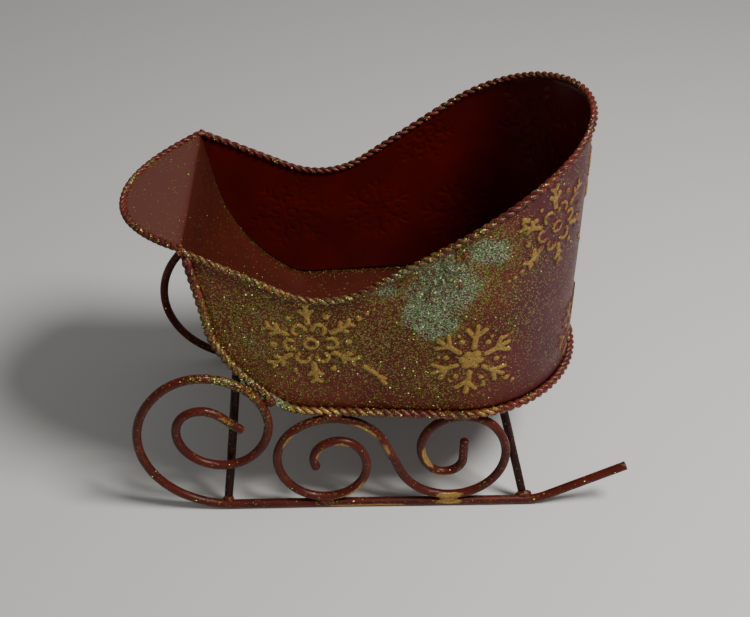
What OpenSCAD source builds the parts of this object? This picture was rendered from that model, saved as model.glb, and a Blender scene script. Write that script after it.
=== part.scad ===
// Decorative tin sleigh: a sheet-metal body on two scrolled wire runners.
// +X is the direction of travel, +Y is the sleigh's left side, +Z is up.
// The origin is on the ground, under the middle of the overall box.

/* [Runners] */
// Diameter of the runner, scroll and curl wire
wire_d = 4.2; // [3:0.1:5]
// Distance between the two runner planes, wire centre to wire centre
track = 110; // [100:1:118]
// Length of the straight stretch that lies on the ground
runner_flat = 140; // [130:1:150]
// Where the front end of the straight stretch is, ahead of the origin
runner_front_x = 71; // [66:0.5:76]
// Length of the left runner's straight kicked-up tail
left_tail_length = 40.9; // [28:0.1:46]
// Length of the right runner's straight kicked-up tail
right_tail_length = 31; // [24:0.1:46]
// Slope of the tail
tail_angle = 28; // [15:1:35]
// Bend radius between the runner and its tail
tail_bend_r = 20; // [10:1:30]
// Centre radius of the front curl, from the ground up its front
curl_r1 = 41.3; // [38:0.1:44]
// Centre radius over the top of the front curl
curl_r2 = 27.8; // [26:0.1:30]
// Centre radius under the inner turn of the front curl
curl_r3 = 20; // [18:0.1:22]
// Centre radius of the innermost turn
curl_r4 = 12; // [11:0.1:13]
// Straight end of the innermost turn
curl_end = 13; // [6:0.5:16]

/* [Scrolls] */
// Where the inner end of the front loop is, ahead of the origin
scroll_x = 31; // [27:0.5:35]
// Radius of the small turn inside the front loop
scroll_r1 = 11.7; // [10:0.1:13]
// Radius of the lower half of the front loop
scroll_r2 = 20; // [18:0.1:22]
// Radius at the foot of the rear loop
scroll_r4 = 25; // [22:0.1:26]
// Radius over the top of the rear loop
scroll_r6 = 19; // [17:0.1:21]
// Radius of the small turn inside the rear loop
scroll_r7 = 8.5; // [7:0.1:10]
// Straight end of the rear loop
scroll_end = 11; // [5:0.5:14]

/* [Body] */
// Thickness of the tin sheet
sheet = 0.5; // [0.4:0.1:1]
// Height of the body's bottom edge above the ground
base_z = 60.9; // [60.5:0.1:62]
// Where the top of the body's front edge is, ahead of the origin
front_x = 84; // [80:0.5:88]
// Half of the body's width at its front edge
front_half = 48.8; // [46:0.2:52]
// Outer radius of the round back
back_r = 56.8; // [54:0.2:60]
// Where the centre of the round back is, behind the origin
back_x = 33.5; // [28:0.5:36]
// Outer radius of the curved front panel
panel_r = 85; // [75:1:95]
// Height of the centre of the front panel's curve
panel_z = 133; // [125:1:140]
// How far the straight top of the front panel leans forward
panel_lean = 10; // [4:1:16]
// Radius between the front panel and the floor
heel_r = 18; // [12:1:24]

/* [Rim] */
// Where the lowest point of the rim is, ahead of the origin
dip_x = 27; // [20:0.5:34]
// Height of the lowest point of the rim
dip_z = 121.6; // [115:0.2:128]
// Radius of the dip
dip_r = 36; // [28:1:44]
// Slope of the rim ahead of the dip
rise_front = 26.5; // [20:0.5:32]
// Slope of the rim behind the dip
rise_back = 34.2; // [28:0.2:38]
// How far behind the origin the rim starts to level out
level_x = 36; // [30:1:44]
// Radius of the rim where it levels out
level_r = 290; // [220:5:400]

/* [Dash lip] */
// How far the lip reaches ahead of the front panel
lip_reach = 30.4; // [24:0.2:38]
// Half of the lip's width at the fold
lip_half = 47; // [42:0.5:49]
// How much the lip droops below level
lip_droop = 9; // [0:1:15]
// Fullness of the lip's outline, where 2 is a parabola
lip_power = 2.1; // [1.4:0.05:2.4]

/* [Braids] */
// Diameter of the twisted braid round the body's bottom edge
base_braid_d = 4.2; // [3.4:0.1:5]
// Diameter of the finer braid along the rim
rim_braid_d = 3.4; // [2.6:0.1:4.4]
// Diameter of the braid round the dash lip
lip_braid_d = 3.8; // [2.6:0.1:4.4]
// How far the base braid stays behind the upper edge of the front panel
braid_setback = 2.2; // [0:0.1:3]

/* [Stays] */
// Diameter of the stay wire
stay_d = 4; // [2.6:0.1:5]
// Where the front stay stands on the runners, ahead of the origin
front_stay_x = 73.4; // [66:0.2:78]
// Where the front stay meets the front panel, ahead of the origin
front_stay_top_x = 64.9; // [60:0.1:67]
// Where the rear stay stands on the runners, behind the origin
rear_stay_x = 67.2; // [64:0.2:72]
// Where the rear stay meets the floor, behind the origin
rear_stay_top_x = 54.4; // [48:0.2:58]
// How far the front stay's top corners lie inside the body's side
front_stay_inset = 4.2; // [2.5:0.1:8]
// How far the rear stay's top corners lie inside the body's side
rear_stay_inset = 7.2; // [4:0.1:12]
// Diameter of the solder beads
bead_d = 5.4; // [4.8:0.1:6.4]

/* [Hidden] */
$fn = 96;
wire_r = wire_d / 2;
// A ball this much thicker than the wire closes the joint between two bars.
joint_swell = 0.12;
// Height of the runner wire's centre line.
runner_z = wire_r + joint_swell;
base_braid_r = base_braid_d / 2;
rim_braid_r = rim_braid_d / 2;
lip_braid_r = lip_braid_d / 2;
stay_r = stay_d / 2;
runner_y = track / 2;
tin_red = [0.36, 0.03, 0.04];
wire_red = [0.42, 0.05, 0.05];
stay_red = [0.2, 0.03, 0.03];
tube_sides = 8;
// Tall enough to pass through the whole body
tall = 260;

// Plan of the body: straight sides that run back onto the round back.
// inset moves the outline inward, and a negative inset moves it outward.
corner_run = front_x + back_x;
corner_dist = sqrt(corner_run * corner_run + front_half * front_half);
side_ang = atan2(front_half, corner_run) + acos(back_r / corner_dist);
function side_touch(inset) =
    [-back_x + (back_r - inset) * cos(side_ang), (back_r - inset) * sin(side_ang)];
function side_y(x, inset) =
    side_touch(inset)[1] - (x - side_touch(inset)[0]) * cos(side_ang) / sin(side_ang);
// Half of the body's width at a distance x ahead of the origin
function body_half(x) =
    x > side_touch(0)[0] ? side_y(x, 0) : sqrt(back_r * back_r - (x + back_x) * (x + back_x));
function back_point(ang, inset) =
    [-back_x + (back_r - inset) * cos(ang), (back_r - inset) * sin(ang)];

// The plan runs a little further forward than the body, which the side view cuts.
module body_plan(inset) {
    touch = side_touch(inset);
    corner = [front_x + 1, side_y(front_x + 1, inset)];
    polygon([corner, touch, [-back_x, 0], [touch[0], -touch[1]], [corner[0], -corner[1]]]);
    translate([-back_x, 0]) circle(r = back_r - inset);
}

// Height of the rim at a distance x ahead of the origin.
dip_front = [dip_x + dip_r * sin(rise_front), dip_z + dip_r * (1 - cos(rise_front))];
dip_back = [dip_x - dip_r * sin(rise_back), dip_z + dip_r * (1 - cos(rise_back))];
level_z = dip_back[1] + (dip_back[0] + level_x) * tan(rise_back);
level_centre = [-level_x - level_r * sin(rise_back), level_z - level_r * cos(rise_back)];
function rim_z(x) =
    x > dip_front[0] ? dip_front[1] + (x - dip_front[0]) * tan(rise_front) :
    x > dip_back[0] ? dip_z + dip_r - sqrt(dip_r * dip_r - (x - dip_x) * (x - dip_x)) :
    x > -level_x ? dip_back[1] + (dip_back[0] - x) * tan(rise_back) :
    level_centre[1] + sqrt(level_r * level_r - (x - level_centre[0]) * (x - level_centre[0]));
front_top_z = rim_z(front_x);

// Side view of the body below its rim: floor, heel, curved front panel that goes
// on up as a straight, leaning one.
heel_gap = panel_r - heel_r;
heel_z = base_z + heel_r;
heel_drop = panel_z - heel_z;
heel_ang = asin(heel_drop / heel_gap);
lean_height = front_top_z - (panel_z - panel_r * sin(panel_lean));
panel_x = front_x - lean_height * tan(panel_lean) - panel_r * cos(panel_lean);
heel_x = panel_x + heel_gap * cos(heel_ang);

function panel_point(a, inset = 0) =
    [panel_x + (panel_r - inset) * cos(a), panel_z - (panel_r - inset) * sin(a)];

module side_outline(inset) {
    reach = 2 * panel_r;
    lean_foot = panel_point(panel_lean, inset);
    lean_top = lean_foot + tall * [sin(panel_lean), cos(panel_lean)];
    translate([-reach, base_z + inset]) square([reach + heel_x, tall]);
    polygon([[panel_x, panel_z - heel_r], lean_foot, lean_top, [panel_x, panel_z + tall]]);
    translate([heel_x, heel_z]) circle(r = heel_r - inset);
    intersection() {
        translate([panel_x, panel_z]) circle(r = panel_r - inset, $fn = 180);
        polygon([[panel_x, panel_z], panel_point(heel_ang, -reach),
                 panel_point(panel_lean, -reach)]);
    }
}

module below_rim() {
    difference() {
        polygon([[-level_x, 0], [-level_x, level_z], dip_back, [dip_x, dip_z + dip_r],
                 dip_front, [front_x, front_top_z], [front_x, 0]]);
        translate([dip_x, dip_z + dip_r]) circle(r = dip_r);
    }
    intersection() {
        translate([-level_x - tall, 0]) square([tall, tall]);
        translate(level_centre) circle(r = level_r, $fn = 360);
    }
}

// A round bar between two points.
module bar(a, b, r) {
    d = b - a;
    translate(a) rotate([0, acos(d[2] / norm(d)), atan2(d[1], d[0])])
        cylinder(h = norm(d), r = r);
}

// Centre line of a wire bent in the plane y = 0, as points [x, z]. The wire is
// given as pieces that run on into each other. An arc is [radius, sweep], where a
// negative radius bends the other way, and a straight piece is [0, length].
bend_step = 12;
function turned(heading, r, sweep) = heading + sign(r) * sweep;
function arc_centre(p, heading, r) = p + r * [-sin(heading), cos(heading)];
function piece_end(p, heading, r, sweep) =
    r == 0 ? p + sweep * [cos(heading), sin(heading)] :
    arc_centre(p, heading, r)
    - r * [-sin(turned(heading, r, sweep)), cos(turned(heading, r, sweep))];
function piece_points(p, heading, r, sweep) =
    r == 0 ? [piece_end(p, heading, 0, sweep)] :
    let (n = ceil(sweep / bend_step))
    [for (i = [1 : n]) piece_end(p, heading, r, sweep * i / n)];
function wire_line(p, heading, pieces, i = 0) =
    i == len(pieces) ? [] :
    let (r = pieces[i][0], sweep = pieces[i][1])
    concat(piece_points(p, heading, r, sweep),
           wire_line(piece_end(p, heading, r, sweep), turned(heading, r, sweep), pieces, i + 1));

// A tube swept along points, for the braids.
function unit(v) = v / norm(v);
function along(pts, i) = unit(pts[min(i + 1, len(pts) - 1)] - pts[max(i - 1, 0)]);
// across gives, at each point, a direction that the tube never runs along.
module swept_tube(pts, across, r) {
    n = len(pts);
    rings = [for (i = [0 : n - 1])
        let (t = along(pts, i), u = unit(cross(t, across[i])), v = cross(t, u))
        for (k = [0 : tube_sides - 1])
            pts[i] + r * (u * cos(360 * k / tube_sides) + v * sin(360 * k / tube_sides))];
    sides = [for (i = [0 : n - 2]) for (k = [0 : tube_sides - 1])
        let (a = i * tube_sides + k, b = i * tube_sides + (k + 1) % tube_sides)
        [a, b, b + tube_sides, a + tube_sides]];
    first = [for (k = [0 : tube_sides - 1]) tube_sides - 1 - k];
    last = [for (k = [0 : tube_sides - 1]) (n - 1) * tube_sides + k];
    polyhedron(points = rings, faces = concat([first], sides, [last]));
}

// Runner: where the flat stretch ends at the back, and the bend up to the tail.
runner_back_x = runner_front_x - runner_flat;
runner_heel = [runner_back_x, runner_z];
// The bend's own wire runs on into the tail by a short bite.
tail_bite = 0.6;
tail_bend = wire_line(runner_heel, 180, [[-tail_bend_r, tail_angle], [0, tail_bite]]);
tail_start = tail_bend[len(tail_bend) - 2];
tail_dir = [-cos(tail_angle), sin(tail_angle)];

// Scroll: both loops stand on the runner and reach up to the base braid.
scroll_foot = runner_z + wire_d;
scroll_top = base_z - base_braid_r - wire_r;
h0 = 66;
h1 = h0 + 172;
h2 = h1 + 169;
h3 = h2 + 201;
h4 = h3 - 126;
h5 = h4 - 67;
turn1 = piece_end([scroll_x, 0], h0, scroll_r1, h1 - h0);
scroll_z = scroll_foot + scroll_r2 - arc_centre(turn1, h1, scroll_r2)[1];
s0 = [scroll_x, scroll_z];
s1 = piece_end(s0, h0, scroll_r1, h1 - h0);
s2 = piece_end(s1, h1, scroll_r2, h2 - h1);
scroll_r3 = (scroll_top - s2[1]) / (1 + cos(h2));
s3 = piece_end(s2, h2, scroll_r3, h3 - h2);
slope_length = (s3[1] - scroll_r4 * (1 + cos(h3)) - scroll_foot) / -sin(h3);
s3b = piece_end(s3, h3, 0, slope_length);
s4 = piece_end(s3b, h3, -scroll_r4, h3 - h4);
scroll_r5 = (scroll_top - s4[1] - scroll_r6 * (1 - cos(h5))) / (cos(h5) - cos(h4));
s5 = piece_end(s4, h4, -scroll_r5, h4 - h5);
front_loop_x = arc_centre(s2, h2, scroll_r3)[0];
rear_loop_x = arc_centre(s5, h5, -scroll_r6)[0];
front_foot_x = arc_centre(s1, h1, scroll_r2)[0];
rear_foot_x = arc_centre(s3b, h3, -scroll_r4)[0];
scroll_pieces = [[scroll_r1, h1 - h0], [scroll_r2, h2 - h1], [scroll_r3, h3 - h2],
                 [0, slope_length], [-scroll_r4, h3 - h4], [-scroll_r5, h4 - h5],
                 [-scroll_r6, 188], [-scroll_r7, 136], [0, scroll_end]];

// Solder beads sit a little inside the wires that they join.
bead_r = bead_d / 2;
module bead(p) {
    translate(p) sphere(r = bead_r, $fn = 48);
}

// Fold line of the lip, and the lip's own plane from there forward.
lip_fold = [front_x - sheet, 0, front_top_z];
lip_steps = [-1 : 0.05 : 1];
function lip_outline(t) = [lip_reach * (1 - pow(abs(t), lip_power)), t * lip_half];
function lip_point(t, up) =
    let (p = lip_outline(t))
    lip_fold + [p[0] * cos(lip_droop) + up * sin(lip_droop), p[1],
                up * cos(lip_droop) - p[0] * sin(lip_droop)];

// Routes of the two long braids. Each runs back along the left side, round
// the back and forward along the right side.
ring_step = 5;
rim_inset = sheet / 2;
// The base braid is soldered on from outside and stays clear of the sheet's inside.
braid_bite = 0.8 * sheet;
base_inset = braid_bite - base_braid_r;
back_rings = ceil((360 - 2 * side_ang) * PI / 180 * back_r / ring_step);
side_rings = ceil(corner_run / ring_step);
arc_rings = 14;
heel_rings = 5;
function between(a, b, i, n) = a + (b - a) * i / n;
function back_run(inset) =
    [for (i = [1 : back_rings - 1])
        back_point(between(side_ang, 360 - side_ang, i, back_rings), inset)];
function other_side(pts) =
    [for (i = [len(pts) - 1 : -1 : 0]) [pts[i][0], -pts[i][1], pts[i][2]]];
function heel_point(a) = [heel_x + heel_r * cos(a), heel_z - heel_r * sin(a)];

// Outward from the body's wall, level.
function outward(pts) = [for (p = pts) unit([min(p[0] + back_x, 0), p[1], 0])];

rim_side = [for (i = [0 : side_rings])
    let (x = between(front_x, side_touch(rim_inset)[0], i, side_rings))
    [x, side_y(x, rim_inset), rim_z(x)]];
rim_back = [for (p = back_run(rim_inset)) [p[0], p[1], rim_z(p[0])]];
rim_route = concat(rim_side, rim_back, other_side(rim_side));

// The base braid comes out to the panel's edge by the angle where its setback ends.
setback_end = 23;
function setback(a) =
    braid_setback * max(0, min(1, (setback_end - a) / (setback_end - panel_lean - 1)));
function lean_point(z) =
    [front_x - (front_top_z - z) * tan(panel_lean) - braid_setback / cos(panel_lean), z];

base_line = concat(
    [lean_point(front_top_z - rim_braid_d), lean_point(front_top_z - lean_height / 2)],
    [for (i = [0 : arc_rings])
        let (a = between(panel_lean, heel_ang, i, arc_rings)) panel_point(a, setback(a))],
    [for (i = [1 : heel_rings]) heel_point(between(heel_ang, 90, i, heel_rings))],
    [for (i = [1 : heel_rings]) [between(heel_x, side_touch(base_inset)[0], i, heel_rings), base_z]]);
base_side = [for (p = base_line) [p[0], side_y(p[0], base_inset), p[1]]];
base_back = [for (p = back_run(base_inset)) [p[0], p[1], base_z]];
base_route = concat(base_side, base_back, other_side(base_side));

// Where the front curl comes nearest to the base braid.
curl_start = [runner_front_x, runner_z];
curl_top_centre = arc_centre(piece_end(curl_start, 0, curl_r1, 140), 140, curl_r2);
curl_near = curl_top_centre + curl_r2 * [cos(160), sin(160)];
panel_near = panel_point(51);

// Stays: each is one wire, up from the left runner, across, and down again.
stay_foot_y = runner_y - wire_r - 0.3 * stay_r;
stay_foot_z = runner_z + wire_r + 0.5 * stay_r;
front_stay_reach = panel_r + stay_r + joint_swell;
front_stay_z = panel_z
    - sqrt(front_stay_reach * front_stay_reach
           - (front_stay_top_x - panel_x) * (front_stay_top_x - panel_x));
rear_stay_z = base_z - stay_r - joint_swell;

// A bent wire that stands upright in the left runner's plane.
module bent_wire(line) {
    route = [for (p = line) [p[0], runner_y, p[1]]];
    swept_tube(route, [for (p = route) [0, 1, 0]], wire_r);
}

module body_wall() {
    color(tin_red) intersection() {
        linear_extrude(height = tall) difference() {
            body_plan(0);
            body_plan(sheet);
            translate([front_x - sheet, -tall / 2]) square([tall, tall]);
        }
        rotate([90, 0, 0]) translate([0, 0, -tall / 2]) linear_extrude(height = tall)
            intersection() {
                side_outline(0);
                below_rim();
            }
    }
}

module floor_pan() {
    color(tin_red) intersection() {
        linear_extrude(height = front_top_z) body_plan(sheet);
        rotate([90, 0, 0]) translate([0, 0, -tall / 2]) linear_extrude(height = tall)
            difference() {
                side_outline(0);
                side_outline(sheet);
            }
    }
}

module dash_lip() {
    color(tin_red) translate(lip_fold) rotate([0, lip_droop, 0]) linear_extrude(height = sheet)
        polygon([for (t = lip_steps) lip_outline(t)]);
}

module rim_braid() {
    color(wire_red) swept_tube(rim_route, outward(rim_route), rim_braid_r);
}

module base_braid() {
    color(wire_red) swept_tube(base_route, outward(base_route), base_braid_r);
}

module lip_braid() {
    route = [for (t = lip_steps) lip_point(t, sheet / 2)];
    color(wire_red) swept_tube(route, [for (p = route) [0, 0, 1]], lip_braid_r);
}

// The runner: bend behind the flat stretch, the flat stretch and the front curl.
module runner() {
    curl = [[curl_r1, 140], [curl_r2, 175], [curl_r3, 150], [curl_r4, 118], [0, curl_end]];
    bend = [for (i = [len(tail_bend) - 1 : -1 : 0]) tail_bend[i]];
    color(wire_red)
        bent_wire(concat(bend, [runner_heel, curl_start], wire_line(curl_start, 0, curl)));
}
module runner_left() { runner(); }
module runner_right() { mirror([0, 1, 0]) runner(); }

// The straight tail of the same wire.
module tail(length) {
    end = tail_start + length * tail_dir;
    color(wire_red)
        bar([tail_start[0], runner_y, tail_start[1]], [end[0], runner_y, end[1]], wire_r);
}
module tail_left() { tail(left_tail_length); }
module tail_right() { mirror([0, 1, 0]) tail(right_tail_length); }

module scroll() {
    color(wire_red) bent_wire(concat([s0], wire_line(s0, h0, scroll_pieces)));
}
module scroll_left() { scroll(); }
module scroll_right() { mirror([0, 1, 0]) scroll(); }

// Solder beads of one side: under the base braid, on the runner, at the curl
// and at the feet of the stays.
module solder() {
    color(wire_red) {
        for (x = [front_foot_x, rear_foot_x])
            bead([x, runner_y, (scroll_foot + runner_z) / 2]);
        for (x = [front_loop_x, rear_loop_x])
            bead([x, (runner_y + side_y(x, base_inset)) / 2, 0.6 * scroll_top + 0.4 * base_z]);
        for (x = [front_stay_x, -rear_stay_x])
            bead([x, (runner_y + stay_foot_y) / 2, (runner_z + stay_foot_z) / 2]);
        bead([(curl_near[0] + panel_near[0]) / 2,
              (runner_y + side_y(panel_near[0], base_inset)) / 2,
              (curl_near[1] + panel_near[1]) / 2]);
    }
}
module solder_left() { solder(); }
module solder_right() { mirror([0, 1, 0]) solder(); }

module stay(foot_x, top_x, top_z, inset) {
    foot = [foot_x, stay_foot_y, stay_foot_z];
    top = [top_x, body_half(top_x) - inset, top_z];
    color(stay_red) {
        bar([top[0], -top[1], top[2]], top, stay_r);
        for (side = [0, 1])
            mirror([0, side, 0]) {
                bar(foot, top, stay_r);
                translate(top) sphere(r = stay_r + joint_swell, $fn = 48);
            }
    }
}
module front_stay() { stay(front_stay_x, front_stay_top_x, front_stay_z, front_stay_inset); }
module rear_stay() { stay(-rear_stay_x, -rear_stay_top_x, rear_stay_z, rear_stay_inset); }

body_wall();
floor_pan();
dash_lip();
rim_braid();
base_braid();
lip_braid();
runner_left();
runner_right();
tail_left();
tail_right();
scroll_left();
scroll_right();
solder_left();
solder_right();
front_stay();
rear_stay();
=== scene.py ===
# Decorative tin sleigh: embossed sheet body, twisted wire edging, scrolled wire runners.
# Lengths are in millimetres until a piece is finished, which scales it to metres.
import math
import random
import bmesh
import bpy
from mathutils import Matrix, Vector, noise


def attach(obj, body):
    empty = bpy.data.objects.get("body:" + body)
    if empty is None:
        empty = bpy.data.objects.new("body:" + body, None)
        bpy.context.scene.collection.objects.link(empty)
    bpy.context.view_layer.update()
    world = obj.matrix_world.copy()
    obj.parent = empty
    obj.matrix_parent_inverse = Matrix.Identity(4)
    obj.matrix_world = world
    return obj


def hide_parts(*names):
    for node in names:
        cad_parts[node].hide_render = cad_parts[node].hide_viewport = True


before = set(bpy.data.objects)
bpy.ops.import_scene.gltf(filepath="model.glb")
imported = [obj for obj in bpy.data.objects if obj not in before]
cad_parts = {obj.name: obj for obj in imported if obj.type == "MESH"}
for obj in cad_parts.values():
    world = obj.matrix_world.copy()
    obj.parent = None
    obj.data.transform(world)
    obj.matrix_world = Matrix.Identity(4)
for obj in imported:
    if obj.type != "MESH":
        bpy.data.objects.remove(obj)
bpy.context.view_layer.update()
rng = random.Random(11)

bodyShape = {
    "frontX": 84.0, "frontHalf": 48.8, "backR": 56.8, "backX": 33.5, "baseZ": 60.9,
    "panelR": 85.0, "panelZ": 133.0, "panelLean": 10.0, "heelR": 18.0, "sheet": 0.5,
    "dipX": 27.0, "dipZ": 121.6, "dipR": 36.0, "riseFront": 26.5, "riseBack": 34.2,
    "levelX": 36.0, "levelR": 290.0,
}


def smoothRise(low, high, value):
    t = max(0.0, min(1.0, (value - low) / (high - low)))
    return t * t * (3 - 2 * t)


def wobble(x, y, z, seed=0.0):
    return noise.noise(Vector((x + seed, y - seed, z + 2 * seed)))


# Plan of the body, measured along the wall from its left front edge round the back.
sideRun = bodyShape["frontX"] + bodyShape["backX"]
sideReach = math.hypot(sideRun, bodyShape["frontHalf"])
sideAngle = math.atan2(bodyShape["frontHalf"], sideRun) + math.acos(bodyShape["backR"] / sideReach)
sideLength = math.sqrt(sideReach ** 2 - bodyShape["backR"] ** 2)
backLength = (2 * math.pi - 2 * sideAngle) * bodyShape["backR"]
wallLength = 2 * sideLength + backLength


def planSpot(along, inset=0.0):
    # place on the wall's outline and the direction that points out of it
    if along > wallLength / 2:
        spot, out = planSpot(wallLength - along, inset)
        return Vector((spot.x, -spot.y)), Vector((out.x, -out.y))
    angle = sideAngle + max(0.0, along - sideLength) / bodyShape["backR"]
    out = Vector((math.cos(angle), math.sin(angle)))
    spot = Vector((-bodyShape["backX"], 0)) + out * (bodyShape["backR"] - inset)
    if along < sideLength:
        spot += Vector((out.y, -out.x)) * (sideLength - along)
    return spot, out


def halfWidth(x, inset):
    edge = bodyShape["backR"] - inset
    touchX = -bodyShape["backX"] + edge * math.cos(sideAngle)
    if x > touchX:
        return edge * math.sin(sideAngle) - (x - touchX) / math.tan(sideAngle)
    return math.sqrt(max(0.0, edge ** 2 - (x + bodyShape["backX"]) ** 2))


riseFront, riseBack = math.radians(bodyShape["riseFront"]), math.radians(bodyShape["riseBack"])
dipFrontX = bodyShape["dipX"] + bodyShape["dipR"] * math.sin(riseFront)
dipBackX = bodyShape["dipX"] - bodyShape["dipR"] * math.sin(riseBack)
dipTop = bodyShape["dipZ"] + bodyShape["dipR"]
levelZ = (dipTop - bodyShape["dipR"] * math.cos(riseBack)
          + (dipBackX + bodyShape["levelX"]) * math.tan(riseBack))


def rimHeight(x):
    if x > dipFrontX:
        return dipTop - bodyShape["dipR"] * math.cos(riseFront) + (x - dipFrontX) * math.tan(riseFront)
    if x > dipBackX:
        return dipTop - math.sqrt(bodyShape["dipR"] ** 2 - (x - bodyShape["dipX"]) ** 2)
    if x > -bodyShape["levelX"]:
        return (dipTop - bodyShape["dipR"] * math.cos(riseBack)
                + (dipBackX - x) * math.tan(riseBack))
    r = bodyShape["levelR"]
    away = x + bodyShape["levelX"] + r * math.sin(riseBack)
    return levelZ - r * math.cos(riseBack) + math.sqrt(r * r - away * away)


foldZ = rimHeight(bodyShape["frontX"])

heelAngle = math.asin((bodyShape["panelZ"] - bodyShape["baseZ"] - bodyShape["heelR"])
                      / (bodyShape["panelR"] - bodyShape["heelR"]))
leanAngle = math.radians(bodyShape["panelLean"])
leanFootZ = bodyShape["panelZ"] - bodyShape["panelR"] * math.sin(leanAngle)
leanFootX = bodyShape["frontX"] - (foldZ - leanFootZ) * math.tan(leanAngle)
panelX = leanFootX - bodyShape["panelR"] * math.cos(leanAngle)
heelX = panelX + (bodyShape["panelR"] - bodyShape["heelR"]) * math.cos(heelAngle)
heelZ = bodyShape["baseZ"] + bodyShape["heelR"]


def panelSpot(angle, lift=0.0):
    r = bodyShape["panelR"] - lift
    return panelX + r * math.cos(angle), bodyShape["panelZ"] - r * math.sin(angle)


def heelSpot(angle, lift=0.0):
    r = bodyShape["heelR"] - lift
    return heelX + r * math.cos(angle), heelZ - r * math.sin(angle)


def leanSpot(z, lift=0.0):
    return bodyShape["frontX"] - (foldZ - z) * math.tan(leanAngle) - lift / math.cos(leanAngle), z


def bottomHeight(x):
    if x > leanFootX:
        return leanFootZ + (x - leanFootX) / math.tan(leanAngle)
    if x > panelSpot(heelAngle)[0]:
        return bodyShape["panelZ"] - math.sqrt(max(0.0, bodyShape["panelR"] ** 2 - (x - panelX) ** 2))
    if x > heelX:
        return heelZ - math.sqrt(bodyShape["heelR"] ** 2 - (x - heelX) ** 2)
    return bodyShape["baseZ"]


# Material building blocks
def makeGroup(name, inputs, outputs):
    group = bpy.data.node_groups.new(name, "ShaderNodeTree")
    for label, kind, value in inputs:
        socket = group.interface.new_socket(name=label, in_out="INPUT", socket_type=kind)
        socket.default_value = value
    for label, kind in outputs:
        group.interface.new_socket(name=label, in_out="OUTPUT", socket_type=kind)
    return group, group.nodes.new("NodeGroupInput"), group.nodes.new("NodeGroupOutput")


def addNode(tree, kind, settings=None, **inputs):
    node = tree.nodes.new(kind)
    for key, value in (settings or {}).items():
        setattr(node, key, value)
    for key, value in inputs.items():
        socket = node.inputs[int(key[1:])] if key[0] == "i" and key[1:].isdigit() else node.inputs[key]
        if hasattr(value, "is_output"):
            tree.links.new(value, socket)
        else:
            socket.default_value = value
    return node


def mathNode(tree, operation, a, b):
    return addNode(tree, "ShaderNodeMath", {"operation": operation}, i0=a, i1=b).outputs[0]


def mixColour(tree, share, a, b, blend="MIX"):
    node = tree.nodes.new("ShaderNodeMix")
    node.data_type, node.blend_type = "RGBA", blend
    for socket, value in ((node.inputs[0], share), (node.inputs[6], a), (node.inputs[7], b)):
        if hasattr(value, "is_output"):
            tree.links.new(value, socket)
        else:
            socket.default_value = value
    return node.outputs[2]


def mixValue(tree, share, a, b):
    node = tree.nodes.new("ShaderNodeMix")
    for socket, value in ((node.inputs[0], share), (node.inputs[2], a), (node.inputs[3], b)):
        if hasattr(value, "is_output"):
            tree.links.new(value, socket)
        else:
            socket.default_value = value
    return node.outputs[0]


def softStep(tree, value, low, high):
    # eases from 0 at low to 1 at high
    return addNode(tree, "ShaderNodeMapRange", {"interpolation_type": "SMOOTHSTEP"},
                   i0=value, i1=low, i2=high).outputs[0]


def colourRamp(tree, value, stops, interpolation="LINEAR"):
    node = tree.nodes.new("ShaderNodeValToRGB")
    ramp = node.color_ramp
    ramp.interpolation = interpolation
    while len(ramp.elements) < len(stops):
        ramp.elements.new(0.5)
    for element, (place, colour) in zip(ramp.elements, stops):
        element.position, element.color = place, (*colour, 1)
    tree.links.new(value, node.inputs[0])
    return node.outputs[0]


def noiseNode(tree, place, scale, detail=3.0, rough=0.55):
    return addNode(tree, "ShaderNodeTexNoise", None, Vector=place, Scale=scale, Detail=detail, Roughness=rough)


glitter = {
    # cell value from which a tint holds, and the tint
    # the warm and cool tints are the glitter's own flake colours with its iridescent sheen baked in, partly painted
    # sheen
    "warm": [(0.0, (0.11, 0.14, 0.015)), (0.18, (0.23, 0.17, 0.03)), (0.36, (0.05, 0.035, 0.008)),
             (0.52, (0.15, 0.10, 0.02)), (0.66, (0.09, 0.16, 0.03)), (0.8, (0.26, 0.22, 0.09)),
             (0.9, (0.10, 0.02, 0.012))],
    "cool": [(0.0, (0.10, 0.30, 0.10)), (0.2, (0.25, 0.33, 0.18)), (0.38, (0.07, 0.11, 0.045)),
             (0.52, (0.33, 0.41, 0.28)), (0.66, (0.16, 0.16, 0.13)), (0.8, (0.19, 0.31, 0.14)),
             (0.9, (0.12, 0.05, 0.04))],
    # painted glints: flakes coloured bright as if catching the lamp
    "glintTints": [(0.0, (0.20, 0.85, 0.12)), (0.4, (0.60, 0.80, 0.15)), (0.7, (0.85, 0.66, 0.22)),
               (0.88, (0.62, 0.76, 0.60))],
    "flakeEdge": (0.72, 0.48), "heaped": (0.76, 1.06),  # heaps turn from the warm tints to the cool ones
    "largeGrain": 0.36, "largeShare": 0.022, "largeEdge": (0.30, 0.18),  # the few large flakes that get a painted glint: bright tints and an emission glow
}


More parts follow.
